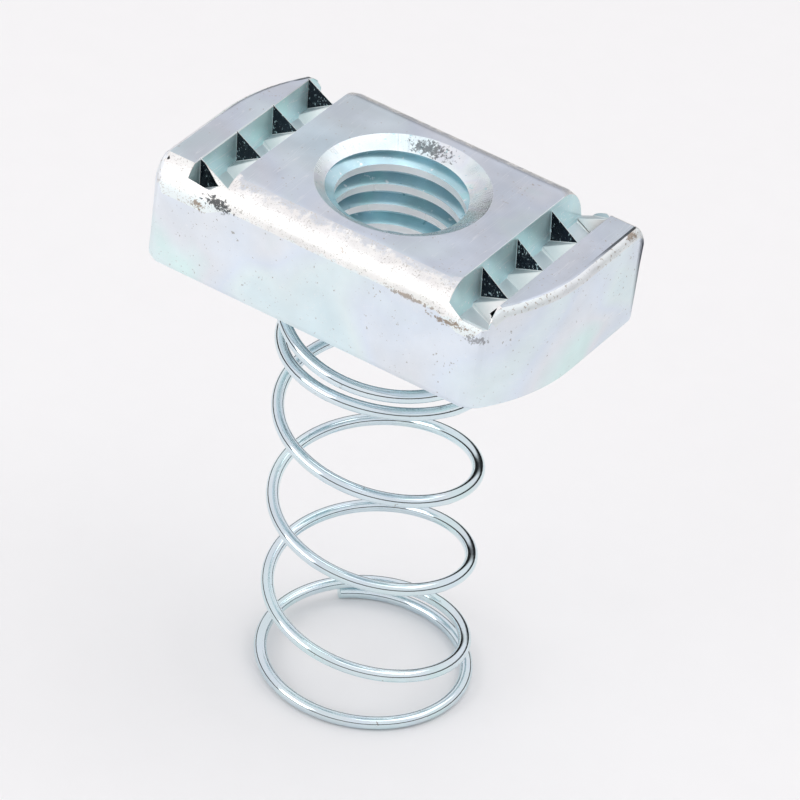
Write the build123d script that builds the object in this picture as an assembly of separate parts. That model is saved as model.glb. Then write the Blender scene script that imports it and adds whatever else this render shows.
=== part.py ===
from build123d import *
import os
from math import ceil, cos, floor, pi, radians, sin, sqrt, tan

# Spring nut for slotted framing channel, in millimetres.
# A forged steel nut with two toothed grooves rides on a coil spring. The spring's
# foot stands on the back of the channel and holds the nut up against the channel's lips,
# whose edges bite into the teeth when a bolt pulls the nut tight.
# +X runs along the nut, +Z along the tapped hole, and the origin is on the hole's axis,
# in the plane that the spring stands on.

# ---- the nut's bar ----
nut_length = 34.9
nut_width = 20.4
nut_thickness = 10.0
roll_radius = 2.4            # long top edges, left round by the rolled bar
base_edge_radius = 0.5       # long edges of the underside
corner_radius = 1.5          # the two corners that stop against the channel's sides
cut_corner_radius = 0.8      # where each turning arc meets a long side
end_edge_radius = 0.4        # upper edges of the two ends

# ---- platform, grooves and end lands ----
platform_length = 21.3       # flat middle between the grooves
groove_width = 3.85
groove_depth = 3.0           # below the platform
groove_draft = 7.0           # degrees, on the wall where each tooth ramp starts
land_drop = 0.5              # end lands lie this far below the platform

# ---- teeth across the grooves ----
tooth_pitch = 5.2            # along the nut's width
tooth_phase = 0.1            # where a crest line crosses the hole's axis
tooth_skew = 27.5            # degrees that a crest turns away from the nut's length
tooth_crest_drop = 0.15      # crest below the platform
tooth_back_angle = 55.6      # degrees, the long flank
tooth_front_run = 1.05       # foot of the steep flank ahead of its crest

# ---- tapped hole ----
tap_bore_radius = 5.4        # wall left by the tap drill for a 1/2 inch, 13 per inch thread
countersink_radius = 7.2
countersink_angle = 118.0    # degrees, whole cone
lower_chamfer = 0.5

# ---- coil spring ----
spring_height = 38.25        # from the foot to the underside of the nut
wire_diameter = 1.1
foot_coil_radius = 8.8       # centre line of the wire
body_coil_radius = 8.45
top_coil_radius = 8.6
open_pitch = 8.95            # height gained by one open turn
foot_rise_turns = 0.95       # over which the pitch grows from the flat foot
foot_tip_gap = 0.05          # between the wire's lower end and the turn above it
close_turns = 0.3            # over which the pitch falls to that of the closed turn
closed_turns = 0.85
closed_gap = 0.48            # between the wires of the closed turn
climb_pitch = 12.0           # of the short climb from the closed turn to the nut
climb_grow_turns = 0.25
climb_turns = 0.19
settle_turns = 0.13          # over which the pitch falls to nothing in the seat
end_gap = 0.1                # between the wire's upper end and the climb below it
foot_tip_angle = 137.0       # where the lower wire end lies, from +X towards +Y
foot_lean = (2.15, 0.55)     # the foot stands this far off the hole's axis, in X and Y
straights_per_turn = 40      # short straights stand for the wound curve,
wire_sides = 12              # and flats for the round wire, to keep the spring light in facets

# ---- how the nut holds the spring ----
seat_depth = 0.6             # ring groove in the underside, for the top turn
seat_clearance = 0.1         # beside the wire
seat_gap = 0.05              # above the wire

# ---- worked out from the sizes above ----
half_length = nut_length / 2
half_width = nut_width / 2
turning_radius = half_length
nut_base = spring_height
nut_top = nut_base + nut_thickness
groove_floor = nut_top - groove_depth
crest_height = nut_top - tooth_crest_drop
land_height = nut_top - land_drop
tooth_root = groove_floor - 0.5   # the teeth are rooted this far into the floor
clear = 2 * nut_length       # longer than the nut, for cutting tools

foot_centre = wire_diameter / 2
seat_centre = spring_height + seat_depth - seat_gap - wire_diameter / 2
closed_pitch = wire_diameter + closed_gap
foot_flat_turns = 1 - sqrt(2 * foot_rise_turns * (wire_diameter + foot_tip_gap) / open_pitch)
seat_turns = 1 - settle_turns / 2 - (wire_diameter + end_gap) / climb_pitch
rise_of_foot = foot_rise_turns * open_pitch / 2
rise_of_closed = close_turns * (open_pitch + closed_pitch) / 2 + closed_turns * closed_pitch
rise_of_climb = (
    climb_grow_turns * (closed_pitch + climb_pitch) / 2 + (climb_turns + settle_turns / 2) * climb_pitch
)
open_rise = seat_centre - foot_centre - rise_of_foot - rise_of_closed - rise_of_climb
open_turns = open_rise / open_pitch
closing_turn = foot_flat_turns + foot_rise_turns + open_turns
coil_stages = (              # turns in each stage of the coil, and the pitch at its end
    (foot_flat_turns, 0),
    (foot_rise_turns, open_pitch),
    (open_turns, open_pitch),
    (close_turns, closed_pitch),
    (closed_turns, closed_pitch),
    (climb_grow_turns, climb_pitch),
    (climb_turns, climb_pitch),
    (settle_turns, 0),
    (seat_turns, 0),
)
turns = sum(length for length, _ in coil_stages)


# ---------------------------------------------------------------- nut
def bar_section():
    """Rolled bar seen along its length: round upper edges, small lower ones."""
    outline = Rectangle(nut_width, nut_thickness)
    outline = fillet(outline.vertices().group_by(Axis.Y)[-1], roll_radius)
    return fillet(outline.vertices().group_by(Axis.Y)[0], base_edge_radius)


def bar():
    """A length of the bar along X, standing on the spring."""
    section = Plane.YZ * bar_section()
    return Pos(0, 0, nut_base + nut_thickness / 2) * extrude(section, half_length, both=True)


def plan_outline():
    """The nut from above: two opposite corners are cut to the circle it turns in."""
    arc_meets_side = sqrt(turning_radius**2 - half_width**2)
    outline = Rectangle(nut_length, nut_width)
    for turn in (0, 180):
        quadrant = Rot(0, 0, turn) * Rectangle(half_length, half_width, align=(Align.MIN, Align.MAX))
        outline = outline - (quadrant - Circle(turning_radius))
    square_corners = [v for v in outline.vertices() if v.X * v.Y > half_width]
    outline = fillet(square_corners, corner_radius)
    arc_ends = [v for v in outline.vertices() if abs(abs(v.X) - arc_meets_side) < 0.01]
    return fillet(arc_ends, cut_corner_radius)


def groove_walls(side):
    """Low and high X of one groove at the platform, side +1 or -1."""
    centre = side * (platform_length + groove_width) / 2
    return centre - groove_width / 2, centre + groove_width / 2


def trough(side):
    """Space cut out for one groove, before its teeth."""
    low, high = groove_walls(side)
    draft = groove_depth * tan(radians(groove_draft))
    above = nut_top + 1
    outline = Polyline(
        (low, above), (low, nut_top), (low + draft, groove_floor), (high, groove_floor), (high, above),
        close=True,
    )
    return extrude(Plane.XZ * make_face(outline), clear, both=True)


def land_step(side):
    """Space above one end land."""
    height = land_drop + 1
    middle = side * (platform_length / 2 + groove_width + clear / 2)
    return Pos(middle, 0, land_height + height / 2) * Box(clear, clear, height)


def end_edges(nut):
    """Upper edges of the two ends, where the lands meet the end faces and turning arcs."""
    edges = []
    for face in nut.faces().filter_by(Axis.Z):
        if abs(face.center().Z - land_height) < 0.01:
            across = [edge for edge in face.edges() if abs((edge % 0.5).X) < 0.7]
            edges += sorted(across, key=lambda edge: abs(edge.center().X))[1:]
    return edges


def crest_prism(line, *profile):
    """A prism along one crest line; profile points are (ahead of the crest, height)."""
    skew = radians(tooth_skew)
    start = Plane(
        origin=(0, tooth_phase + line * tooth_pitch, 0),
        x_dir=(-sin(skew), -cos(skew), 0),
        z_dir=(-cos(skew), sin(skew), 0),
    )
    return extrude(start * make_face(Polyline(*profile, close=True)), clear, both=True)


def ramp_space(side):
    """Space under the ramp that cuts off the steep fronts: it climbs across the groove."""
    low, high = groove_walls(side)
    foot = low + groove_depth * tan(radians(groove_draft))
    outline = Polyline(
        (low - 1, tooth_root), (low - 1, groove_floor), (foot, groove_floor),
        (high, crest_height), (high + 1, crest_height), (high + 1, tooth_root),
        close=True,
    )
    return extrude(Plane.XZ * make_face(outline), clear, both=True)


def teeth(side):
    """Ridges that slant across one groove, with a long back flank and a steep front."""
    low, high = groove_walls(side)
    back_run = (crest_height - tooth_root) / tan(radians(tooth_back_angle))
    front_run = tooth_front_run * (crest_height - tooth_root) / (crest_height - groove_floor)
    skew = radians(tooth_skew)
    first = (-half_width - tooth_phase + low * tan(skew) - back_run / cos(skew)) / tooth_pitch
    last = (half_width - tooth_phase + high * tan(skew) + front_run / cos(skew)) / tooth_pitch
    slot = Pos((low + high) / 2, 0, nut_top) * Box(groove_width, nut_width, 2 * groove_depth + 1)
    under_ramp = ramp_space(side)
    rows = []
    for line in range(ceil(first), floor(last) + 1):
        back = crest_prism(line, (0, crest_height), (0, tooth_root), (-back_run, tooth_root))
        front = crest_prism(line, (0, crest_height), (front_run, tooth_root), (0, tooth_root))
        rows.append((back + (front & under_ramp)) & slot)
    return rows


def spring_seat():
    """Ring groove in the underside that takes the spring's top turn."""
    reach = wire_diameter / 2 + seat_clearance
    ring = Circle(top_coil_radius + reach) - Circle(top_coil_radius - reach)
    return extrude(Pos(0, 0, nut_base) * ring, seat_depth)


def tapped_hole():
    """Tap bore with its countersink above and a small chamfer below."""
    slope = tan(radians(countersink_angle / 2))
    sink_depth = (countersink_radius - tap_bore_radius) / slope
    outline = Polyline(
        (0, nut_base - 1),
        (tap_bore_radius + lower_chamfer, nut_base - 1),
        (tap_bore_radius + lower_chamfer, nut_base),
        (tap_bore_radius, nut_base + lower_chamfer),
        (tap_bore_radius, nut_top - sink_depth),
        (countersink_radius, nut_top),
        (countersink_radius, nut_top + 1),
        (0, nut_top + 1),
        close=True,
    )
    return revolve(Plane.XZ * make_face(outline), Axis.Z)


def channel_nut():
    """The whole nut, one forged and tapped piece."""
    blank = bar() & extrude(Pos(0, 0, nut_base) * plan_outline(), nut_thickness)
    nut = blank - land_step(1) - land_step(-1)
    nut = fillet(end_edges(nut), end_edge_radius) - tapped_hole() - spring_seat()
    for side in (1, -1):
        nut -= trough(side)
        for row in teeth(side):
            nut += row & blank
    return nut


# ---------------------------------------------------------------- spring
def blend(x):
    """Smooth step from 0 to 1."""
    x = min(max(x, 0), 1)
    return x * x * (3 - 2 * x)


def climbed(turn):
    """Height gained by this turn; within a stage the pitch changes evenly."""
    height = 0
    pitch = 0
    for length, end_pitch in coil_stages:
        run = min(turn, length)
        height += run * (pitch + (end_pitch - pitch) * run / length / 2)
        turn -= run
        pitch = end_pitch
    return height


def wire_centre(turn):
    """Point on the wire's centre line; the spring is wound left-handed."""
    height = foot_centre + climbed(turn)
    waist = blend((turn - foot_flat_turns) / foot_rise_turns)
    swell = blend((turn - closing_turn) / (close_turns + closed_turns))
    radius = (
        foot_coil_radius
        + (body_coil_radius - foot_coil_radius) * waist
        + (top_coil_radius - body_coil_radius) * swell
    )
    angle = radians(foot_tip_angle) - 2 * pi * turn
    lean = 1 - (height - foot_centre) / (seat_centre - foot_centre)
    return Vector(
        foot_lean[0] * lean + radius * cos(angle),
        foot_lean[1] * lean + radius * sin(angle),
        height,
    )


def wire_section():
    """Section of the wire, with a flat downwards so that the foot lies on its seat."""
    return Rot(0, 0, 180 / wire_sides) * RegularPolygon(wire_diameter / 2, wire_sides, major_radius=False)


def spring():
    """Wire wound through its flat foot, open turns, closed turn and the turn in the nut's seat."""
    count = round(turns * straights_per_turn)
    centre_line = Polyline(*[wire_centre(turns * i / count) for i in range(count + 1)])
    outwards = Vector(cos(radians(foot_tip_angle)), sin(radians(foot_tip_angle)), 0)
    start = Plane(origin=centre_line @ 0, x_dir=outwards, z_dir=centre_line % 0)
    return sweep(start * wire_section(), centre_line, transition=Transition.RIGHT)


# ---------------------------------------------------------------- files
def main():
    os.makedirs("parts", exist_ok=True)
    for name, piece in {"channel_nut": channel_nut(), "spring": spring()}.items():
        export_step(piece, f"parts/{name}.step")


main()
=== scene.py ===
# %% [markdown]
# A spring nut for slotted framing channel: a rectangular steel nut with two toothed
# grooves, held up by a coil spring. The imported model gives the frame: where the nut and the
# spring are, how large they are, and how the nut slides down on its spring.
# Both pieces are built again here as finer meshes, because bright zinc shows every facet.

# %% Load the frame
import bmesh
import bpy
from math import asin, ceil, cos, degrees, pi, radians, sin, sqrt, tan
from mathutils import Matrix, Vector


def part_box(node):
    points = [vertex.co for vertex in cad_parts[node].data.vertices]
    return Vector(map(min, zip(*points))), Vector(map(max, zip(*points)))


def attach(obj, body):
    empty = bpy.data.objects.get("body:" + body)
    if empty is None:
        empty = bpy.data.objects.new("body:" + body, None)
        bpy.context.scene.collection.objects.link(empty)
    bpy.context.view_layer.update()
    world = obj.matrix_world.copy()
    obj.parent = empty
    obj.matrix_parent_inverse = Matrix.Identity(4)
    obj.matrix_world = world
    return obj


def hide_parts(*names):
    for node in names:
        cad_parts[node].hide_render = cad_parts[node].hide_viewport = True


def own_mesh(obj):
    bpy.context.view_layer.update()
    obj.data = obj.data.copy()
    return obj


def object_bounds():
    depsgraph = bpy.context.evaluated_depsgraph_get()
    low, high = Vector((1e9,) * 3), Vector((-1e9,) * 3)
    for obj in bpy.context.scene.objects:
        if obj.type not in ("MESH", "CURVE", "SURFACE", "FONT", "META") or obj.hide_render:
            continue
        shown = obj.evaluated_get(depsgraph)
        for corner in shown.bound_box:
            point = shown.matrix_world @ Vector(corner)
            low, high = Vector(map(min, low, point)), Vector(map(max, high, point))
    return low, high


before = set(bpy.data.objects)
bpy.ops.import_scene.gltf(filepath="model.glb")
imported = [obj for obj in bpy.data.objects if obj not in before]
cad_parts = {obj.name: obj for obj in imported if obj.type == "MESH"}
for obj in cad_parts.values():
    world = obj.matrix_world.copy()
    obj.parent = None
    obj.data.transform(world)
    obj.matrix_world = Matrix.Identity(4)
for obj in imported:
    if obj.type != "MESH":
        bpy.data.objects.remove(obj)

MM = 0.001
cad_low, cad_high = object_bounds()
nut_low, nut_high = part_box("channel_nut")
spring_low, spring_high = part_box("spring")
print("nut box", [round(v / MM, 2) for v in nut_high - nut_low])
print("spring box", [round(v / MM, 2) for v in spring_high - spring_low])

# %% [markdown]
# The nut is cut from rolled bar. Its shape could be modelled point by point, but the real one
# is made by cutting, so the mesh is made that way too: closed prisms stand for the bar and for
# each tool, and exact booleans take one from the other. Everything is drawn in millimetres and
# scaled at the end, because booleans are surer at sizes near one. No two tools share a plane,
# since a boolean can't tell which side of a shared plane is inside.

# %% Sizes of the nut, in millimetres
length = (nut_high.x - nut_low.x) / MM
width = (nut_high.y - nut_low.y) / MM
base = nut_low.z / MM
top = nut_high.z / MM
half_width = width / 2
turning_radius = length / 2
roll_radius = 2.4
land_roll_radius = 3.6
platform_length = 21.3
platform_end = platform_length / 2
groove_width = 3.85
land_start = platform_end + groove_width
groove_floor = top - 3.3
shelf_height = top - 3.05
land_height = top - 0.5
wall_slope = tan(radians(7))
tooth_pitch = 5.2
tooth_phase = {1: 0.7, -1: 0.4}
tooth_skew = radians(27.5)
crest_heights = {1: (top - 0.35, top - 0.72), -1: (top - 0.3, top - 0.25)}
lip_heights = {1: top - 2.2, -1: top - 1.3}
worn_crest = 0.35
worn_reach = 1
root_height = groove_floor - 0.5
back_slope = tan(radians(55.6))
front_slope = 2.7
bore_radius = 5.4
sink_radius = 7.2
sink_angle = radians(59)
sink_depth = (sink_radius - bore_radius) / tan(sink_angle)
thread_radius = 6.35
thread_pitch = 1.954
seat_depth = 0.6
seat_inner, seat_outer = 7.7, 9.3
print("nut", round(length, 2), "x", round(width, 2), "x", round(top - base, 2), "mm")


# %% Prisms and booleans
def closed_mesh(name, points, faces):
    """Mesh object with its faces turned outwards."""
    mesh = bpy.data.meshes.new(name)
    mesh.from_pydata(points, [], faces)
    shape = bmesh.new()
    shape.from_mesh(mesh)
    bmesh.ops.recalc_face_normals(shape, faces=shape.faces)
    shape.to_mesh(mesh)
    shape.free()
    piece = bpy.data.objects.new(name, mesh)
    bpy.context.collection.objects.link(piece)
    return piece


def strips(rings, count):
    """Faces that join each ring of points to the next; every ring has count points."""
    faces = []
    for here in range(0, (rings - 1) * count, count):
        for i in range(count):
            beside = (i + 1) % count
            faces.append((here + i, here + beside, here + beside + count, here + i + count))
    return faces


def prism(outline, low, high, put):
    """Closed prism; put turns (outline's two numbers, position along the prism) into a point."""
    count = len(outline)
    points = [put(a, b, low) for a, b in outline] + [put(a, b, high) for a, b in outline]
    ends = [tuple(range(count)), tuple(range(2 * count - 1, count - 1, -1))]
    return closed_mesh("prism", points, strips(2, count) + ends)


def along_x(outline, low, high):
    """Prism along X, from an outline of (y, z) points."""
    return prism(outline, low, high, lambda y, z, x: (x, y, z))


def along_y(outline, low, high):
    """Prism along Y, from an outline of (x, z) points."""
    return prism(outline, low, high, lambda x, z, y: (x, y, z))


def along_z(outline, low, high):
    """Prism along Z, from an outline of (x, y) points."""
    return prism(outline, low, high, lambda x, y, z: (x, y, z))


def combine(piece, tool, operation):
    """Boolean of two pieces; the tool is used up."""
    modifier = piece.modifiers.new("cut", "BOOLEAN")
    modifier.object = tool
    modifier.operation = operation
    modifier.solver = "EXACT"
    shapes = bpy.context.evaluated_depsgraph_get()
    result = bpy.data.meshes.new_from_object(piece.evaluated_get(shapes))
    piece.modifiers.clear()
    piece.data = result
    bpy.data.objects.remove(tool)
    return piece


def arc(centre, radius, start, end, steps):
    """Points on an arc, angles in degrees."""
    angles = [radians(start + (end - start) * i / steps) for i in range(steps + 1)]
    return [(centre[0] + radius * cos(a), centre[1] + radius * sin(a)) for a in angles]


# %% [markdown]
# Each groove takes one lip of the channel, and its teeth bite into the lip's edge. The teeth are
# chisel cuts: all crests lie on parallel slanting lines that run through both grooves. A tooth
# has a long back flank, an upright face, and a ramp where the chisel ran out, which climbs
# across the groove until it meets the crest. A tooth's faces are all flat, so it is drawn as
# sections across the groove, joined one to the next. The block they stand on is larger than
# the nut, and is trimmed afterwards.

# %% Grooves and teeth
def groove_walls(side):
    """Lowest and highest x of the groove on one side, 1 or -1."""
    centre = side * (platform_length + groove_width) / 2
    return centre - groove_width / 2, centre + groove_width / 2


def groove_space(side):
    """Space of one groove and of the end land beside it, which lies a little lower."""
    low, high = groove_walls(side)
    foot = low + (top - groove_floor) * wall_slope
    if side > 0:
        outline = [(low, top + 2), (low, top), (foot, groove_floor), (high, groove_floor)]
        outline += [(high, land_height), (2 * length, land_height), (2 * length, top + 2)]
    else:
        shoulder = low + (top - land_height) * wall_slope
        outline = [(-2 * length, top + 2), (-2 * length, land_height), (shoulder, land_height)]
        outline += [(foot, groove_floor), (high, groove_floor), (high, top + 2)]
    return along_y(outline, -2 * width, 2 * width)


def tooth_row(line, side, bite=0.03):
    """One tooth across a groove, its ends and root sunk a little into the steel."""
    low, high = groove_walls(side)
    foot = low + (top - groove_floor) * wall_slope
    stretch = 1 / cos(tooth_skew)
    middle = tooth_phase[side] + line * tooth_pitch - (low + high) / 2 * tan(tooth_skew)
    worn = worn_crest if abs(middle) > half_width - worn_reach else 0
    first_height, last_height = (height - worn for height in crest_heights[side])

    def section(x):
        """The tooth cut through at x, from the foot of its back over the crest to the foot of its front."""
        crest = tooth_phase[side] + line * tooth_pitch - x * tan(tooth_skew)
        height = first_height + (last_height - first_height) * (x - low) / groove_width
        ramp = shelf_height + (last_height - shelf_height) * max((x - foot) / (high - foot), 0)
        ramp = min(ramp, height)
        return [
            (x, crest + (height - root_height) / back_slope * stretch, root_height),
            (x, crest, height),
            (x, crest, ramp),
            (x, crest - (height - ramp) / front_slope * stretch, ramp),
            (x, crest - (height - root_height) / front_slope * stretch, root_height),
        ]

    points = section(low - bite) + section(foot) + section(high) + section(high + bite)
    faces = [(0, 1, 2, 3, 4), (19, 18, 17, 16, 15)] + strips(4, 5)
    tooth = closed_mesh("tooth", points, faces)
    shape = bmesh.new()
    shape.from_mesh(tooth.data)
    bmesh.ops.remove_doubles(shape, verts=shape.verts, dist=1e-5)
    bmesh.ops.dissolve_degenerate(shape, edges=shape.edges, dist=1e-5)
    bmesh.ops.dissolve_limit(shape, angle_limit=radians(0.1), verts=shape.verts, edges=shape.edges)
    bmesh.ops.recalc_face_normals(shape, faces=shape.faces)
    shape.to_mesh(tooth.data)
    shape.free()
    return tooth


block = [(-2 * length, base - 1), (2 * length, base - 1), (2 * length, top + 1), (-2 * length, top + 1)]
nut = along_y(block, -1.5 * width, 1.5 * width)
nut.name = "zinc_plated_nut"
rows = ceil((half_width + length / 2 * tan(tooth_skew)) / tooth_pitch) + 1
for side in (1, -1):
    combine(nut, groove_space(side), "DIFFERENCE")
for side in (1, -1):
    for line in range(-rows, rows + 1):
        combine(nut, tooth_row(line, side), "UNION")
print("tooth rows tried", 2 * rows + 1, "faces", len(nut.data.polygons))

# %% [markdown]
# The long edges are rolled after the grooves are cut, and the rolling pushes a little steel back
# over the front end of each groove. So each groove is closed there by a low sloping lip. It
# reaches past the nut's side, and the bar's outline trims it later.

# %% Lips at the grooves' front ends
lip_foot_y, lip_crown_y, lip_outside_y = -8.9, -9.55, -1.3 * width
lip_root = groove_floor - 0.3


def exit_lip(side, bite=0.02):
    """Closed lip for one groove, its ends sunk a little into the groove's walls."""
    low, high = groove_walls(side)
    crown = lip_heights[side]
    outline = [(lip_foot_y, lip_root), (lip_crown_y, crown)]
    outline += [(lip_outside_y, crown), (lip_outside_y, lip_root)]
    return along_x(outline, low - bite, high + bite)


for side in (1, -1):
    combine(nut, exit_lip(side), "UNION")
print("lips added, faces", len(nut.data.polygons))

# %% [markdown]
# The bar's long upper edges are rolled round, and two opposite corners of the nut are cut to
# the circle it turns in, so that it locks across the channel after a quarter turn. Two solids
# trim the block to both. The outline from above is a plain prism. The bar is joined up from
# sections, because its rolled edges have a larger radius on the end lands than on the platform.

# %% Bar
base_radius = 0.5
roll_change = (10.0, 12.0)


def roll_at(x):
    """Radius of the rolled edge, which is larger on the end lands than on the platform."""
    share = (abs(x) - roll_change[0]) / (roll_change[1] - roll_change[0])
    return roll_radius + (land_roll_radius - roll_radius) * min(max(share, 0), 1)


def bar_section(x):
    """The bar cut through at x, as a ring of points."""
    roll = roll_at(x)
    inwards = half_width - base_radius
    outline = (
        arc((half_width - roll, top - roll), roll, 0, 90, 18)
        + arc((roll - half_width, top - roll), roll, 90, 180, 18)
        + arc((-inwards, base + base_radius), base_radius, 180, 270, 5)
        + arc((inwards, base + base_radius), base_radius, 270, 360, 5)
    )
    return [(x, y, z) for y, z in outline]


def bar():
    """Closed bar joined up from its sections along X."""
    stations = [-2 * length, -roll_change[1], -roll_change[0], roll_change[0], roll_change[1], 2 * length]
    rings = [bar_section(x) for x in stations]
    count = len(rings[0])
    ends = [tuple(range(count)), tuple(range((len(rings) - 1) * count, len(rings) * count))]
    return closed_mesh("bar", [point for ring in rings for point in ring], ends + strips(len(rings), count))


# %% Outline from above
corner = 1.5
cut_corner = 2.0
inner_radius = turning_radius - cut_corner
fillet_y = half_width - cut_corner
fillet_x = sqrt(inner_radius**2 - fillet_y**2)
fillet_angle = degrees(asin(fillet_y / inner_radius))
half_plan = (
    arc((turning_radius - corner, half_width - corner), corner, 90, 0, 10)
    + arc((0, 0), turning_radius, 0, -fillet_angle, 24)
    + arc((fillet_x, -fillet_y), cut_corner, -fillet_angle, -90, 8)[1:]
)
plan = half_plan + [(-x, -y) for x, y in half_plan]
combine(nut, along_z(plan, base - 3, top + 3), "INTERSECT")
combine(nut, bar(), "INTERSECT")
print("trimmed nut", len(nut.data.polygons), "faces")

# %% [markdown]
# Nothing on a plated nut is quite sharp. The rims of the two ends are rounded most, the lower rims
# less, and every edge that a tool left is only just broken. Each bevel picks its edges by a
# test on where an edge lies and how its two faces stand.

# %% Soften the edges
same_point = 0.003
same_plane = radians(0.5)
upright = 0.02
sloping = 0.35
sharp_angle = radians(25)
shortest_edge = 0.05
foot_rim_start = 13
foot_rim_height = 0.6
rim_radius, foot_rim_radius, softening = 0.7, 0.45, 0.05


def round_edges(piece, wanted, size, steps):
    """Bevel the edges that a test picks."""
    shape = bmesh.new()
    shape.from_mesh(piece.data)
    bmesh.ops.remove_doubles(shape, verts=shape.verts, dist=same_point)
    bmesh.ops.dissolve_degenerate(shape, edges=shape.edges, dist=same_point)
    bmesh.ops.dissolve_limit(shape, angle_limit=same_plane, verts=shape.verts, edges=shape.edges)
    edges = [e for e in shape.edges if len(e.link_faces) == 2 and wanted(e)]
    bmesh.ops.bevel(
        shape, geom=edges, offset=size, segments=steps, profile=0.5, affect="EDGES", clamp_overlap=False
    )
    shape.to_mesh(piece.data)
    shape.free()
    return len(edges)


def is_end_edge(edge):
    """Upper rim of the two ends, down over the rolled edges as far as it is a corner at all."""
    middle = (edge.verts[0].co + edge.verts[1].co) / 2
    slopes = sorted(face.normal.z for face in edge.link_faces)
    return abs(middle.x) > land_start + 0.2 and abs(slopes[0]) < upright and slopes[1] > sloping


def is_foot_edge(edge):
    """Lower rim of the two ends."""
    middle = (edge.verts[0].co + edge.verts[1].co) / 2
    slopes = sorted(face.normal.z for face in edge.link_faces)
    low_end = abs(middle.x) > foot_rim_start and middle.z < base + foot_rim_height
    return low_end and slopes[0] < -sloping and abs(slopes[1]) < upright


def is_cut_edge(edge):
    """Sharp edges above the underside, where a press or a tool left them."""
    lowest = min(v.co.z for v in edge.verts)
    sharp = edge.calc_face_angle(0) > sharp_angle
    return sharp and lowest > base + foot_rim_height and edge.calc_length() > shortest_edge


print("end edges", round_edges(nut, is_end_edge, rim_radius, steps=5))
print("lower end edges", round_edges(nut, is_foot_edge, foot_rim_radius, steps=4))
print("softened edges", round_edges(nut, is_cut_edge, softening, steps=2), "faces", len(nut.data.polygons))

# %% [markdown]
# A tapped hole is the shape that a tap leaves behind. The tap is built as a closed solid: its
# surface winds up with the pitch, so that each crest and root is one unbroken helix, and two
# fans close its ends outside the nut. It is a right-hand thread, as the nut's bolt needs. The
# drill that goes before it leaves the bore, the countersink and the chamfer below, and a ring
# cutter leaves the groove in which the spring's top turn sits.

# %% Solids turned about the hole's axis
def revolved(profile, steps):
    """Closed solid of revolution; the profile starts and ends on the axis."""
    ring = profile[1:-1]
    count = len(ring)
    points = [(0, 0, profile[0][1]), (0, 0, profile[-1][1])]
    for i in range(steps):
        a = 2 * pi * i / steps
        points += [(r * cos(a), r * sin(a), z) for r, z in ring]
    faces = []
    for i in range(steps):
        here = 2 + i * count
        there = 2 + (i + 1) % steps * count
        faces += [(0, here, there), (1, there + count - 1, here + count - 1)]
        faces += [(here + k, here + k + 1, there + k + 1, there + k) for k in range(count - 1)]
    return closed_mesh("revolved", points, faces)


def disc(radius, low, high, steps):
    """Plain closed disc."""
    return revolved(((0, low), (radius, low), (radius, high), (0, high)), steps)


# %% Tap
def tap(steps=72):
    """Right-hand screw that fills the thread's space, longer than the nut at both ends."""
    crest_radius = bore_radius + 0.02
    flank = (thread_radius - crest_radius) * tan(radians(30))
    root = thread_pitch / 8
    crest = thread_pitch - root - 2 * flank
    profile = (
        (0, crest_radius),
        (crest, crest_radius),
        (crest + flank, thread_radius),
        (crest + flank + root, thread_radius),
    )
    sides = len(profile)
    wound = steps * (ceil((top - base) / thread_pitch) + 3)
    start = base - 1.5 * thread_pitch

    def point(s, k):
        """Point k of the profile, at step s of the winding."""
        rise, radius = profile[k]
        a = 2 * pi * s / steps
        return (radius * cos(a), radius * sin(a), start + thread_pitch * s / steps + rise)

    points = [point(s, k) for s in range(wound + 1) for k in range(sides)]
    points += [point(s, 0) for s in range(wound + 1, wound + steps + 1)]

    def number(s, k):
        """Number of a point; the point above the last one of a turn starts the next turn."""
        if k == sides:
            s, k = s + steps, 0
        return s * sides + k if s <= wound else (wound + 1) * sides + s - wound - 1

    faces = []
    for s in range(wound):
        for k in range(sides):
            faces.append((number(s, k), number(s + 1, k), number(s + 1, k + 1), number(s, k + 1)))
    for s, height in ((0, start - 1), (wound, top + 3 * thread_pitch)):
        rim = [number(s + i, 0) for i in range(steps + 1)] + [number(s, k) for k in range(sides - 1, 0, -1)]
        points.append((0, 0, height))
        faces += [(len(points) - 1, rim[i], rim[(i + 1) % len(rim)]) for i in range(len(rim))]
    return closed_mesh("tap", points, faces)


# %% Hole, thread and spring seat
chamfer = 0.5
worn_rim = 0.08
drill = (
    (0, base - 1),
    (bore_radius + chamfer + 1, base - 1),
    (bore_radius, base + chamfer),
    (bore_radius, top - sink_depth),
    (sink_radius - worn_rim, top - 0.05),
    (sink_radius, top - 0.015),
    (sink_radius + worn_rim, top + 0.02),
    (sink_radius + worn_rim, top + 1),
    (0, top + 1),
)
combine(nut, revolved(drill, 144), "DIFFERENCE")
combine(nut, tap(), "DIFFERENCE")
ring = disc(seat_outer, base - 1, base + seat_depth, 96)
combine(ring, disc(seat_inner, base - 2, base + 2, 90), "DIFFERENCE")
combine(nut, ring, "DIFFERENCE")
print("faces after tapping", len(nut.data.polygons))


def finish_mesh(piece, sharp):
    """Scale to metres and shade smoothly except across sharp edges."""
    piece.data.transform(Matrix.Scale(MM, 4))
    shape = bmesh.new()
    shape.from_mesh(piece.data)
    bmesh.ops.triangulate(shape, faces=[f for f in shape.faces if len(f.verts) > 4])
    for face in shape.faces:
        face.smooth = True
    for edge in shape.edges:
        edge.smooth = edge.calc_face_angle(0) < sharp
    shape.to_mesh(piece.data)
    shape.free()


finish_mesh(nut, radians(28))
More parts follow.
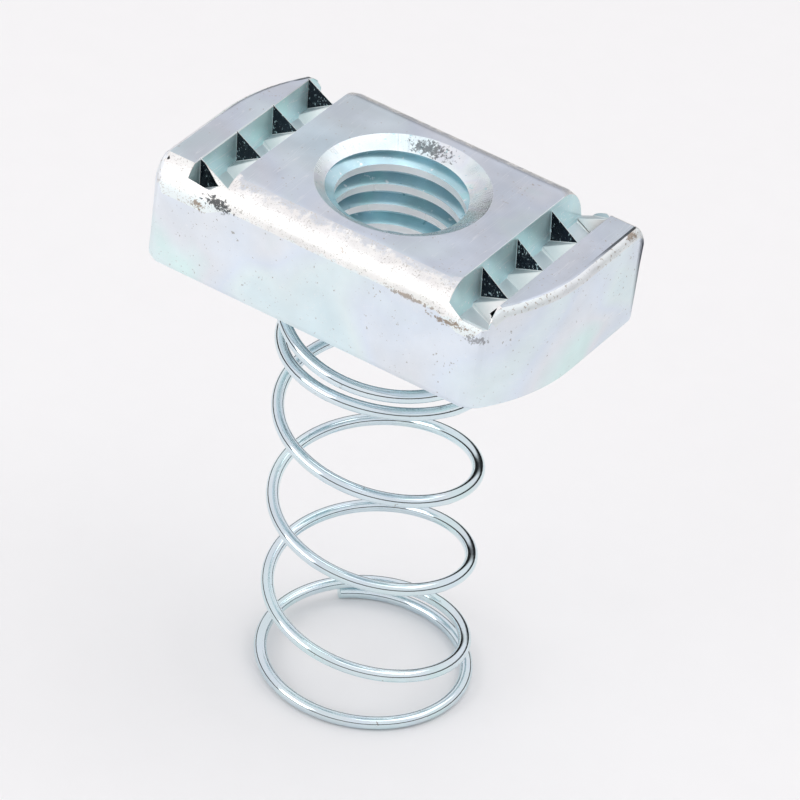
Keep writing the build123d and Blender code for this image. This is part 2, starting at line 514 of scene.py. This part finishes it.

# %% [markdown]
# Zinc plating is a metal mirror, a little dull, and its thin clear skin tints the reflections
# with pale blue, lilac and pink. On one nut the same plating looks quite different from place to
# place: nearly white where the rolled edge is rough, black on a polished tooth face, teal down
# in the hole. The black of the tooth faces is painted here, a painted reflection of the dark
# surroundings they mirror, and so are the white highlights on the crest lines and the thread's
# crests. So each kind of surface gets its own material, and all of them share a few effects.
# The effects are node groups, so that each is built once and set per material.

# %% Helpers for node trees
def new_node(tree, kind, **sockets):
    """Add a node and set its inputs by name; names use _ for a space."""
    node = tree.nodes.new(kind)
    for name, value in sockets.items():
        node.inputs[name.replace("_", " ")].default_value = value
    return node


def new_group(name, inputs, outputs):
    """Empty node group with float, colour or vector sockets."""
    group = bpy.data.node_groups.new(name, "ShaderNodeTree")
    kinds = {"f": "NodeSocketFloat", "c": "NodeSocketColor", "v": "NodeSocketVector"}
    for label, kind, value in inputs:
        group.interface.new_socket(label, in_out="INPUT", socket_type=kinds[kind]).default_value = value
    for label, kind in outputs:
        group.interface.new_socket(label, in_out="OUTPUT", socket_type=kinds[kind])
    return group, group.nodes.new("NodeGroupInput"), group.nodes.new("NodeGroupOutput")


def maths(tree, operation, a, b=0.0, clamp=False):
    """Math node; a and b are numbers or sockets."""
    node = tree.nodes.new("ShaderNodeMath")
    node.operation = operation
    node.use_clamp = clamp
    for socket, value in zip(node.inputs, (a, b)):
        if isinstance(value, (int, float)):
            socket.default_value = value
        else:
            tree.links.new(value, socket)
    return node.outputs[0]


def mix_colour(tree, factor, a, b, blend="MIX"):
    """Mix two colours; each value is a socket, a number or a colour."""
    node = tree.nodes.new("ShaderNodeMix")
    node.data_type = "RGBA"
    node.blend_type = blend
    for socket, value in ((node.inputs[0], factor), (node.inputs[6], a), (node.inputs[7], b)):
        if isinstance(value, (int, float, tuple)):
            socket.default_value = value
        else:
            tree.links.new(value, socket)
    return node.outputs[2]


def ramp(tree, factor, *stops):
    """Colour ramp; stops are (position, colour or grey)."""
    node = tree.nodes.new("ShaderNodeValToRGB")
    elements = node.color_ramp.elements
    while len(elements) < len(stops):
        elements.new(0.5)
    for element, (position, colour) in zip(elements, stops):
        element.position = position
        element.color = colour if isinstance(colour, tuple) else (colour, colour, colour, 1)
    tree.links.new(factor, node.inputs[0])
    return node.outputs[0]


def vector_maths(tree, operation, a, b=None):
    """Vector math node; a and b are sockets or vectors. The outputs are Vector and Value."""
    node = tree.nodes.new("ShaderNodeVectorMath")
    node.operation = operation
    for socket, value in zip(node.inputs, (a, b)):
        if isinstance(value, tuple):
            socket.default_value = value
        elif value is not None:
            tree.links.new(value, socket)
    return node.outputs


def place(tree):
    """The surface's own coordinates, which travel with the piece."""
    return tree.nodes.new("ShaderNodeTexCoord").outputs["Object"]


def noise(tree, scale, detail=4.0, rough=0.55, where=None, warp=0.0):
    """Noise from 0 to 1; scale is a number or a socket, in spots to the metre."""
    node = new_node(tree, "ShaderNodeTexNoise", Detail=detail, Roughness=rough, Distortion=warp)
    tree.links.new(where or place(tree), node.inputs["Vector"])
    if isinstance(scale, (int, float)):
        node.inputs["Scale"].default_value = scale
    else:
        tree.links.new(scale, node.inputs["Scale"])
    return node.outputs["Fac"]


# %% Tint of the clear skin
tint, given, result = new_group(
    "plating_tint",
    [("Metal", "c", (0.8, 0.8, 0.82, 1)), ("Amount", "f", 0.5), ("Scale", "f", 90.0)],
    [("Color", "c")],
)
bands = ramp(
    tint, noise(tint, given.outputs["Scale"], detail=1.5, warp=0.6),
    (0.30, (0.72, 0.90, 1.0, 1)), (0.42, (0.93, 0.97, 1.0, 1)), (0.50, (0.86, 0.84, 1.0, 1)),
    (0.58, (1.0, 0.90, 0.98, 1)), (0.68, (0.82, 1.0, 0.97, 1)),
)
tinted = mix_colour(tint, given.outputs["Amount"], given.outputs["Metal"], bands, "MULTIPLY")
tint.links.new(tinted, result.inputs["Color"])

# %% Grain of the steel
grain, given, result = new_group("steel_grain", [("Scale", "f", 900.0)], [("Height", "f"), ("Patches", "f")])
fine = noise(grain, given.outputs["Scale"], detail=6.0, rough=0.7)
coarse = noise(grain, maths(grain, "MULTIPLY", given.outputs["Scale"], 0.22), detail=3.0)
fine_share = maths(grain, "MULTIPLY", fine, 0.6)
coarse_share = maths(grain, "MULTIPLY", coarse, 0.4)
grain.links.new(maths(grain, "ADD", fine_share, coarse_share), result.inputs["Height"])
grain.links.new(coarse, result.inputs["Patches"])

# %% Specks
# One mask for two uses: dark specks in the plating, and pale specks that are painted glints.
specks, given, result = new_group("specks", [("Scale", "f", 1500.0), ("Amount", "f", 0.2)], [("Mask", "f")])
cells = noise(specks, given.outputs["Scale"], detail=2.0, rough=0.6)
clusters = noise(specks, maths(specks, "MULTIPLY", given.outputs["Scale"], 0.13), detail=2.0)
level = maths(specks, "SUBTRACT", 0.86, maths(specks, "MULTIPLY", given.outputs["Amount"], 0.35))
level = maths(specks, "SUBTRACT", level, maths(specks, "MULTIPLY", clusters, 0.22))
over = maths(specks, "SUBTRACT", cells, level)
specks.links.new(maths(specks, "MULTIPLY", over, 14.0, clamp=True), result.inputs["Mask"])

# %% Fine scratches
scratches, given, result = new_group("scratches", [("Amount", "f", 0.3)], [("Mask", "f")])
lines = None
for turn, stretch in (((0.3, 0.2, 0.5), 24.0), ((1.1, 0.7, -0.9), 34.0)):
    mapping = new_node(scratches, "ShaderNodeMapping", Rotation=turn, Scale=(stretch, 1.0, stretch))
    scratches.links.new(place(scratches), mapping.inputs["Vector"])
    strokes = noise(scratches, 60.0, detail=2.0, rough=0.4, where=mapping.outputs["Vector"])
    near = maths(scratches, "ABSOLUTE", maths(scratches, "SUBTRACT", strokes, 0.62))
    line = maths(scratches, "SUBTRACT", 1.0, maths(scratches, "MULTIPLY", near, 150.0), clamp=True)
    lines = line if lines is None else maths(scratches, "MAXIMUM", lines, line)
scratches.links.new(maths(scratches, "MULTIPLY", lines, given.outputs["Amount"]), result.inputs["Mask"])

# %% Marks of the countersink's cutter
cutter, given, result = new_group("cutter_marks", [("Lines", "f", 40.0)], [("Height", "f")])
split = cutter.nodes.new("ShaderNodeSeparateXYZ")
cutter.links.new(place(cutter), split.inputs[0])
angle = maths(cutter, "ARCTAN2", split.outputs["Y"], split.outputs["X"])
join = cutter.nodes.new("ShaderNodeCombineXYZ")
cutter.links.new(maths(cutter, "MULTIPLY", angle, given.outputs["Lines"]), join.inputs["X"])
cutter.links.new(noise(cutter, 300.0, detail=1.0), join.inputs["Y"])
cutter.links.new(noise(cutter, 1.0, detail=3.0, where=join.outputs[0]), result.inputs["Height"])

# %% Stain at one place
stain, given, result = new_group(
    "stain",
    [("Centre", "v", (0, 0, 0)), ("Reach", "v", (0.002, 0.002, 0.002)), ("Ragged", "f", 1.1)],
    [("Mask", "f")],
)
offset = vector_maths(stain, "SUBTRACT", place(stain), given.outputs["Centre"])["Vector"]
share = vector_maths(stain, "DIVIDE", offset, given.outputs["Reach"])["Vector"]
distance = vector_maths(stain, "LENGTH", share)["Value"]
crumbs = maths(stain, "SUBTRACT", noise(stain, 3600.0, detail=5.0, rough=0.7), 0.5)
broken = maths(stain, "MULTIPLY", crumbs, given.outputs["Ragged"])
edge = maths(stain, "ADD", distance, maths(stain, "MULTIPLY", broken, 5.0))
edge = maths(stain, "SUBTRACT", 1.0, edge)
stain.links.new(maths(stain, "MULTIPLY", edge, 3.0, clamp=True), result.inputs["Mask"])
print("shared effects", [g.name for g in bpy.data.node_groups])

# %% [markdown]
# A material starts from the metal's own colour and roughness. Then tint, pale and dark specks,
# scratches and stains are laid over the colour; the pale specks are painted glints. The grain goes
# into roughness and a fine bump, and plain numbers are set on the shader itself.

# %% One kind of plated surface
scratch_colour = (0.95, 0.96, 0.97, 1)
# Colour of the pale specks, which are painted glints.
painted_glint_colour = (0.97, 0.98, 1.0, 1)


def use(tree, group, **sockets):
    """Place a shared effect in a material with its own values."""
    node = tree.nodes.new("ShaderNodeGroup")
    node.node_tree = group
    for name, value in sockets.items():
        node.inputs[name].default_value = value
    return node.outputs


def plated(
    name, metal, rough, tint_amount=0.5, metallic=1.0, tint_scale=90.0,
    dark=0.0, dark_colour=(0.25, 0.22, 0.19, 1), pale=0.0, speck_scale=1500.0, scratch=0.25,
    grain_scale=900.0, bump=0.15, uneven=0.25, stains=(),
    blend_above=None, blend_below=None, turned=False,
):
    """Plated steel; the amounts say how strongly each shared effect shows.

    A stain is (centre, reach, colour, strength). A blend is (height, colour, depth) and changes the
    colour above or below that height. All lengths are in millimetres.
    """
    material = bpy.data.materials.new(name)
    material.use_nodes = True
    tree = material.node_tree
    shader = tree.nodes["Principled BSDF"]
    shader.inputs["Metallic"].default_value = metallic
    colour = use(tree, tint, Metal=(*metal, 1), Amount=tint_amount, Scale=tint_scale)["Color"]
    surface = use(tree, grain, Scale=grain_scale)
    patches = ramp(tree, surface["Patches"], (0.35, 1 - uneven), (0.65, 1.0))
    colour = mix_colour(tree, 1.0, colour, patches, "MULTIPLY")
    colour = mix_colour(tree, use(tree, scratches, Amount=scratch)["Mask"], colour, scratch_colour)
    for change, sense in ((blend_above, 1), (blend_below, -1)):
        if change:
            height, other_colour, reach = change
            split = tree.nodes.new("ShaderNodeSeparateXYZ")
            tree.links.new(place(tree), split.inputs[0])
            uneven_edge = maths(tree, "SUBTRACT", noise(tree, 1100.0, detail=8.0), 0.5)
            level = maths(tree, "SUBTRACT", split.outputs["Z"], height * MM)
            level = maths(tree, "ADD", level, maths(tree, "MULTIPLY", uneven_edge, reach * MM))
            mask = maths(tree, "MULTIPLY", level, sense * 6.0 / (reach * MM), clamp=True)
            colour = mix_colour(tree, mask, colour, other_colour)
    # Pale specks: painted glints.
    if pale:
        mask = use(tree, specks, Scale=speck_scale * 1.1, Amount=pale)["Mask"]
        colour = mix_colour(tree, mask, colour, painted_glint_colour)
    if dark:
        mask = use(tree, specks, Scale=speck_scale, Amount=dark)["Mask"]
        colour = mix_colour(tree, mask, colour, dark_colour)
    for centre, reach, stain_colour, strength in stains:
        centre = tuple(v * MM for v in centre)
        mask = use(tree, stain, Centre=centre, Reach=tuple(v * MM for v in reach))["Mask"]
        colour = mix_colour(tree, maths(tree, "MULTIPLY", mask, strength), colour, stain_colour)
    tree.links.new(colour, shader.inputs["Base Color"])
    roughness = maths(tree, "ADD", rough * 0.7, maths(tree, "MULTIPLY", surface["Patches"], rough * 0.6))
    tree.links.new(roughness, shader.inputs["Roughness"])
    relief = new_node(tree, "ShaderNodeBump", Strength=bump, Distance=0.00003)
    lines = use(tree, cutter, Lines=45.0)["Height"] if turned else surface["Height"]
    tree.links.new(lines, relief.inputs["Height"])
    tree.links.new(relief.outputs["Normal"], shader.inputs["Normal"])
    return material


# %% The nut's finishes
brown = (0.27, 0.19, 0.12, 1)
near_black = (0.03, 0.035, 0.04, 1)
grey = (0.30, 0.31, 0.33, 1)
# Marks at given spots, in millimetres: brown stains, a near-black patch at the left groove's front end and a
# grey one at the right groove's.
marks = (
    ((-11.0, -10.0, top - 1.95), (1.35, 0.8, 0.5), near_black, 0.9),
    ((-12.9, -10.1, top - 2.9), (0.7, 0.5, 0.32), brown, 0.8),
    ((7.6, -10.1, top - 2.15), (2.0, 0.5, 0.2), brown, 0.65),
    ((11.3, -10.1, top - 2.75), (2.0, 0.6, 0.25), brown, 0.8),
    ((14.4, -10.2, top - 3.3), (1.4, 0.6, 0.35), grey, 0.8),
    ((17.3, 7.4, top - 0.55), (0.5, 0.7, 0.4), brown, 0.8),
    ((0.7, -9.4, top - 1.2), (0.35, 0.5, 0.3), brown, 0.6),
)
finishes = {
    "body": plated(
        "zinc_flat", (0.865, 0.955, 0.965), 0.45, 0.5, 0.9, tint_scale=70.0, dark=0.2, speck_scale=3300.0,
        dark_colour=(0.46, 0.46, 0.46, 1), scratch=0.4, bump=0.15, uneven=0.1, stains=marks,
    ),
    "platform": plated(
        "zinc_platform", (0.66, 0.735, 0.775), 0.32, 0.38, tint_scale=80.0, dark=0.2, speck_scale=3300.0,
        dark_colour=(0.44, 0.42, 0.40, 1), bump=0.12, uneven=0.16, scratch=0.3,
    ),
    "roll": plated(
        "zinc_rolled_edge", (0.98, 0.98, 0.95), 0.46, 0.1, 0.8, tint_scale=120.0, dark=0.5,
        speck_scale=7000.0, dark_colour=(0.62, 0.61, 0.58, 1), bump=0.6, grain_scale=2200.0,
        uneven=0.12, stains=marks,
        blend_above=(top - 0.3, (0.66, 0.69, 0.73, 1), 1.3),
        blend_below=(top - 2.0, (0.88, 0.945, 0.955, 1), 1.6),
    ),
    "rim": plated(
        "zinc_worn_rim", (0.90, 0.93, 0.93), 0.55, 0.25, 0.4, dark=0.42, speck_scale=3600.0,
        dark_colour=(0.50, 0.47, 0.44, 1), bump=0.6, grain_scale=1800.0, uneven=0.12, stains=marks,
        blend_above=(land_height - 0.035, (0.40, 0.36, 0.32, 1), 0.12),
    ),
    # Near-black base colour: a painted black reflection of the dark surroundings that the polished face
    # mirrors; its pale specks are painted glints.
    "face": plated(
        "tooth_face_painted_black_reflection", (0.010, 0.013, 0.024), 0.10, 0.0,
        pale=0.36, speck_scale=3600.0, scratch=0.2, bump=0.05,
    ),
    "front": plated("tooth_front_bright", (1.0, 1.0, 1.0), 0.5, 0.0, 0.0, scratch=0.0, uneven=0.0, bump=0.03),
    "ramp": plated(
        "groove_floor_pale", (0.70, 0.77, 0.79), 0.34, 0.2, 0.35, bump=0.1, uneven=0.08, scratch=0.1,
    ),
    "wall": plated(
        "groove_wall_teal", (0.66, 0.90, 0.91), 0.34, 0.25, 0.4, tint_scale=200.0, pale=0.3,
        speck_scale=4200.0, scratch=0.6, bump=0.3, uneven=0.15,
    ),
    # White crest lines: a painted highlight on the softened crest edges.
    "crest": plated("crest_painted_highlight", (0.97, 0.98, 0.98), 0.30, 0.0, 0.3, bump=0.05, uneven=0.0),
    "sink": plated(
        "countersink_turned", (0.90, 0.97, 0.97), 0.28, 0.4, 0.8, tint_scale=260.0, dark=0.3, bump=1.0,
        uneven=0.3, speck_scale=2600.0, dark_colour=(0.45, 0.66, 0.70, 1),
        turned=True, stains=(((-1.6, 6.5, top - 0.5), (1.9, 0.9, 0.45), near_black, 0.75),),
    ),
    "flank": plated(
        "thread_flank_teal", (0.58, 0.85, 0.91), 0.24, 0.3, 0.6, tint_scale=260.0, pale=0.25, dark=0.2,
        speck_scale=1800.0, dark_colour=(0.18, 0.36, 0.42, 1), bump=0.25, uneven=0.3,
    ),
    # White thread crests: a painted highlight.
    "thread": plated(
        "thread_crest_painted_highlight", (1.0, 1.0, 1.0), 0.30, 0.1, 0.35, tint_scale=260.0, bump=0.2, uneven=0.15,
    ),
}
print("finishes", list(finishes))

# %% [markdown]
# Every face of the nut takes its finish from where it lies and which way it looks: the cone of the
# countersink, the thread below it, the rolled edges, the three kinds of face in the grooves, the
# rims of the end lands, and what is left. The margins are in millimetres, and the other limits
# are on one part of the face's normal.

# %% Each face gets its finish
across = Vector((-sin(tooth_skew), -cos(tooth_skew), 0))
front_normal = (across * front_slope + Vector((0, 0, 1))).normalized()
wall_normal = Vector((1, 0, wall_slope)).normalized()
slack = 0.03
alike = 0.99
flat_up = 0.98
hole_zone = bore_radius + 0.98
crest_zone = top - 0.75
tooth_start, tooth_end = -9, half_width - 1.9


def above_cone(point):
    """How far a point lies above the countersink's cone."""
    return point.z - top + (sink_radius - point.xy.length) / tan(sink_angle)


def finish_in_hole(centre):
    """Finish of a face in the hole or on its rim, or nothing for a face elsewhere."""
    spread = centre.xy.length
    if spread < sink_radius and abs(above_cone(centre)) < slack:
        return "sink"
    if spread < hole_zone and centre.z < top - 0.3:
        # The thread's crests get the painted white highlight.
        return "thread" if spread < bore_radius + 0.05 else "flank"
    return "sink" if spread < sink_radius + 0.1 else None


def finish_in_groove(centre, normal):
    """Finish of a face in a groove; the ends of the groove have ramps, but no polished faces with the painted
    black reflection.
    """
    inset = platform_end + 0.3 < abs(centre.x) < land_start - 0.3
    on_tooth = tooth_start < centre.y < tooth_end and inset
    # Polished faces get the painted black reflection; fronts and walls get their own finishes.
    for name, way in (("face", across), ("front", front_normal), ("wall", wall_normal)):
        if normal.dot(way) > alike:
            return "ramp" if name == "face" and not on_tooth else name
    if abs(normal.y) < 0.05 and normal.z > 0.5:
        return "ramp"
    # Edges near the crest get the painted white highlight.
    return "crest" if centre.z > crest_zone or normal.dot(across) > 0.2 else "wall"


def finish_of(centre, normal):
    """Name of the finish, from where a face lies (millimetres) and which way it looks."""
    in_hole = finish_in_hole(centre)
    if in_hole:
        return in_hole
    roll = roll_at(centre.x)
    beyond = Vector((abs(centre.y) - half_width + roll, centre.z - top + roll))
    if min(beyond) > 0 and beyond.length > roll - 0.06 and 0.12 < normal.z < 0.99:
        return "roll"
    in_groove = platform_end - 0.08 < abs(centre.x) < land_start + 0.08 and centre.z > groove_floor - 0.1
    if in_groove and abs(centre.y) < half_width - 0.05 and centre.z < top - 0.02:
        return finish_in_groove(centre, normal)
    if abs(centre.x) > land_start and 0.1 < normal.z < flat_up:
        return "rim" if abs(normal.x) > 0.2 else "roll"
    return "platform" if normal.z > flat_up else "body"


def give_finishes(piece):
    """Set the finish of every face; returns how many faces each finish got."""
    names = list(finishes)
    for name in names:
        piece.data.materials.append(finishes[name])
    count = dict.fromkeys(names, 0)
    for face in piece.data.polygons:
        name = finish_of(face.center / MM, face.normal)
        face.material_index = names.index(name)
        count[name] += 1
    return count


print("faces of each finish", give_finishes(nut))

# %% [markdown]
# The cone and the rolled edges are still made of flat strips, and a mirror shows every strip. So
# their corners get the normals of the true cone and the true roll, and the flat faces keep their
# own right up to their edges.

# %% True normals, and the nut's place in the frame
square_on = 0.9995


def exact_normal(point, normal):
    """Normal of the true surface at a corner, or nothing where the mesh's own will do."""
    spread = point.xy.length
    on_cone = abs(above_cone(point)) < slack and bore_radius - 0.02 < spread < sink_radius + 0.02
    if on_cone and 0.3 < normal.z < 0.97:
        level = cos(sink_angle)
        return Vector((-point.x / spread * level, -point.y / spread * level, sin(sink_angle)))
    if max(abs(v) for v in normal) > square_on:
        return normal
    roll = roll_at(point.x)
    inwards = half_width - roll
    if abs(point.y) > inwards - 0.01 and point.z > top - roll - 0.01 and abs(normal.x) < 0.45:
        return Vector((0, point.y - inwards * (1 if point.y > 0 else -1), point.z - top + roll)).normalized()
    return None


def true_normals(piece):
    """Give curved surfaces the normals of the surface they stand for, and flat ones their own."""
    mesh = piece.data
    normals = [corner.vector.copy() for corner in mesh.corner_normals]
    exact = 0
    for face in mesh.polygons:
        for corner in face.loop_indices:
            point = mesh.vertices[mesh.loops[corner].vertex_index].co / MM
            found = exact_normal(point, face.normal)
            if found:
                normals[corner] = found
                exact += 1
    mesh.normals_split_custom_set(normals)
    return exact


print("corners with exact normals", true_normals(nut))
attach(nut, "nut")
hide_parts("channel_nut")

# %% [markdown]
# The spring is one length of round wire. Its centre line is a helix whose pitch changes along
# the way: flat at the foot, open in the middle, one closed turn, then a climb into the groove
# under the nut. Curves could carry the wire, but a mesh of rings keeps its ends cut square and
# can be pressed together by the frame. The heights come from adding up the pitch stage by stage.

# %% The spring's pitch, stage by stage
wire_radius = 0.55
seat_centre = base + seat_depth - 0.05 - wire_radius
open_pitch, closed_pitch, climb_pitch = 8.95, 1.58, 12.0
opening, closing, closed = 0.95, 0.3, 0.85
steepening, climbing, levelling = 0.25, 0.19, 0.13
flat_turns = 1 - sqrt(2 * opening * (2 * wire_radius + 0.05) / open_pitch)
seat_turns = 1 - levelling / 2 - (2 * wire_radius + 0.1) / climb_pitch
rise_elsewhere = (
    opening * open_pitch / 2 + closing * (open_pitch + closed_pitch) / 2 + closed * closed_pitch
    + steepening * (closed_pitch + climb_pitch) / 2 + (climbing + levelling / 2) * climb_pitch
)
open_turns = (seat_centre - wire_radius - rise_elsewhere) / open_pitch
coil_stages = (
    (flat_turns, 0), (opening, open_pitch), (open_turns, open_pitch), (closing, closed_pitch),
    (closed, closed_pitch), (steepening, climb_pitch), (climbing, climb_pitch), (levelling, 0),
    (seat_turns, 0),
)
turns = sum(stage for stage, end_pitch in coil_stages)
print("turns", round(turns, 2), "of them open", round(open_turns, 2))

# %% The wire's centre line
foot_radius, body_change, top_change = 8.8, -0.35, 0.15
foot_lean = Vector((2.15, 0.55, 0))
foot_tip_angle = radians(137)


def ease(x):
    """Goes from 0 to 1 without a kink."""
    x = min(max(x, 0), 1)
    return x * x * (3 - 2 * x)


def climbed(turn):
    """Height gained by this turn."""
    height = pitch = 0
    for stage, end_pitch in coil_stages:
        run = min(turn, stage)
        height += run * (pitch + (end_pitch - pitch) * run / stage / 2)
        turn -= run
        pitch = end_pitch
    return height


def wire_centre(turn):
    """Point of the centre line; the coil narrows above its foot and leans back over the hole's axis."""
    height = wire_radius + climbed(turn)
    close_start = flat_turns + opening + open_turns
    narrowed = body_change * ease((turn - flat_turns) / opening)
    widened = top_change * ease((turn - close_start) / (closing + closed))
    radius = foot_radius + narrowed + widened
    a = foot_tip_angle - 2 * pi * turn
    lean = 1 - (height - wire_radius) / (seat_centre - wire_radius)
    return Vector((radius * cos(a), radius * sin(a), height)) + foot_lean * lean


# %% Wire around the centre line
broken_edge = 0.06


def coil(rings_per_turn=80, sides=24):
    """Closed tube around the wire's centre line, with slightly broken edges at its two ends."""
    count = round(turns * rings_per_turn)
    centres = [wire_centre(turns * i / count) for i in range(count + 1)]
    points = []

    def ring(centre, way, radius):
        """Adds one ring of points, square to the way that the wire runs."""
        outwards = Vector((centre.x, centre.y, 0))
        outwards = (outwards - way * outwards.dot(way)).normalized()
        upwards = way.cross(outwards)
        for k in range(sides):
            a = 2 * pi * k / sides
            points.append(centre + (outwards * cos(a) + upwards * sin(a)) * radius)

    for i, centre in enumerate(centres):
        way = (centres[min(i + 1, count)] - centres[max(i - 1, 0)]).normalized()
        if i == 0:
            ring(centre, way, wire_radius - broken_edge)
            ring(centre + way * broken_edge, way, wire_radius)
        elif i == count:
            ring(centre - way * broken_edge, way, wire_radius)
            ring(centre, way, wire_radius - broken_edge)
        else:
            ring(centre, way, wire_radius)
    rings = len(points) // sides
    ends = [tuple(range(sides)), tuple(range((rings - 1) * sides, rings * sides))]
    return closed_mesh("coil_spring", points, strips(rings, sides) + ends)


spring = coil()
finish_mesh(spring, radians(40))
print("spring", len(spring.data.polygons), "faces")

# %% [markdown]
# Drawn wire is smoother than the nut, so its mirror is sharper. The spring stays with its foot, and
# the nut slides down over it, so the frame squashes the spring between the two: its foot stays
# where it is, and its height at the end of the nut's travel is what the travel leaves.

# %% The spring's finish and its motion
spring_finish = plated(
    "bright_wire", (0.74, 0.86, 0.88), 0.10, 0.25, tint_scale=120.0,
    dark=0.08, scratch=0.15, bump=0.05, uneven=0.08,
)
spring.data.materials.append(spring_finish)
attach(spring, "spring")
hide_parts("spring")
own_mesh(spring)

# %% [markdown]
# A plain studio. A long lens from far away keeps the nut's edges nearly parallel, and the camera is
# rolled a little, so the nut leans in the picture. The floor is a plane under the spring's foot;
# it is part of the stage and not of the object. The plain view transform keeps near-white as it is.

# %% Camera
def place_camera(azimuth, elevation, roll, distance, aim, lens):
    """Camera looking at aim; azimuth 0 looks along +Y, and roll turns the picture."""
    data = bpy.data.cameras.new("camera")
    camera = bpy.data.objects.new("camera", data)
    bpy.context.collection.objects.link(camera)
    data.lens = lens
    data.sensor_width = 36
    data.clip_start = 0.01
    data.clip_end = 100
    turn = Matrix.Rotation(radians(azimuth), 4, "Z") @ Matrix.Rotation(radians(90 - elevation), 4, "X")
    turn = turn @ Matrix.Rotation(radians(roll), 4, "Z")
    back = turn.to_3x3() @ Vector((0, 0, 1))
    camera.matrix_world = Matrix.Translation(aim + back * distance) @ turn
    bpy.context.scene.camera = camera
    return camera


aim = Vector((1.92 * MM, 1.04 * MM, nut_high.z - 21.12 * MM))
camera = place_camera(28.31, 35.857, 8.2, 498.86 * MM, aim, lens=274.05)
print("camera at", [round(v / MM, 1) for v in camera.location])

# %% Floor
bpy.context.scene.view_settings.view_transform = "Standard"


def flat_plane(name, half, z):
    """Square plane at height z."""
    mesh = bpy.data.meshes.new(name)
    corners = [(-half, -half, z), (half, -half, z), (half, half, z), (-half, half, z)]
    mesh.from_pydata(corners, [], [(0, 1, 2, 3)])
    plane = bpy.data.objects.new(name, mesh)
    bpy.context.collection.objects.link(plane)
    return plane


floor_plane = flat_plane("floor", 0.6, cad_low.z)
print("floor at", round(cad_low.z / MM, 2), "mm")

# %% [markdown]
# Metal shows its surroundings more than its own colour. A bright studio is a tent of white cloth
# over white paper: it lights the object evenly from all round, and only the gap between paper and
# cloth stays dark, so bright wire shows that gap as a thin black line. At one side the tent has a
# doorway, where the dark reaches higher. The world takes cloth, gap and doorway from the direction
# that is looked in. Light Path gives three answers: the camera sees a plain near-white backdrop,
# a mirror sees the same backdrop with the gap in it, and everything else is lit by the cloth. Two
# large soft lamps, above and at the front left, give a faint shadow and light the tooth fronts.

# %% World
world = bpy.data.worlds.new("tent")
bpy.context.scene.world = world
world.use_nodes = True
sky = world.node_tree
background = sky.nodes["Background"]
direction = sky.nodes.new("ShaderNodeTexCoord").outputs["Generated"]
split = sky.nodes.new("ShaderNodeSeparateXYZ")
sky.links.new(direction, split.inputs[0])
doorway_way = (-0.48, 0.88, 0.0)
facing = vector_maths(sky, "DOT_PRODUCT", direction, doorway_way)["Value"]
doorway = maths(sky, "MULTIPLY", maths(sky, "SUBTRACT", facing, 0.85), 8.0, clamp=True)
height = maths(sky, "SUBTRACT", split.outputs["Z"], maths(sky, "MULTIPLY", doorway, 0.16))
share = maths(sky, "ADD", maths(sky, "MULTIPLY", height, 0.5), 0.5)
cloth = ramp(
    sky, share, (0.50, 0.015), (0.58, 0.02), (0.63, 0.90), (0.72, 0.98), (0.85, 0.95), (1.0, 0.85)
)
path = sky.nodes.new("ShaderNodeLightPath").outputs
backdrop = (1.07, 1.035, 1.07, 1)
gap = ramp(sky, share, (0.50, 0.015), (0.58, 0.02), (0.63, 1.0))
mirrored = mix_colour(sky, 1.0, backdrop, gap, "MULTIPLY")
in_metal = maths(sky, "MAXIMUM", path["Is Glossy Ray"], path["Is Transmission Ray"])
lit = mix_colour(sky, in_metal, cloth, mirrored)
sky.links.new(mix_colour(sky, path["Is Camera Ray"], lit, backdrop), background.inputs["Color"])
background.inputs["Strength"].default_value = 0.88
print("world nodes", len(sky.nodes))

# %% Floor finish
paper = bpy.data.materials.new("white_paper")
paper.use_nodes = True
sheet_tree = paper.node_tree
sheet_shader = sheet_tree.nodes["Principled BSDF"]
sheet_shader.inputs["Roughness"].default_value = 0.9
fibre = ramp(
    sheet_tree, noise(sheet_tree, 300.0),
    (0.3, (0.945, 0.93, 0.945, 1)), (0.7, (0.955, 0.94, 0.955, 1)),
)
sheet_tree.links.new(fibre, sheet_shader.inputs["Base Color"])
floor_plane.data.materials.append(paper)
print("floor", paper.name)


# %% Lamps
def soft_lamp(name, place_at, aim_at, size, energy):
    """Square area lamp that looks at aim_at; size in metres, energy in watts."""
    data = bpy.data.lights.new(name, "AREA")
    data.size = size
    data.energy = energy
    lamp = bpy.data.objects.new(name, data)
    bpy.context.collection.objects.link(lamp)
    lamp.location = place_at
    lamp.rotation_euler = (aim_at - place_at).to_track_quat("-Z", "Y").to_euler()
    return lamp


middle = (cad_low + cad_high) / 2
soft_lamp("tent top", middle + Vector((0.10, 0.10, 0.35)), middle, 0.35, 0.30)
soft_lamp("tent side", middle + Vector((-0.20, -0.32, 0.15)), middle, 0.25, 0.38)
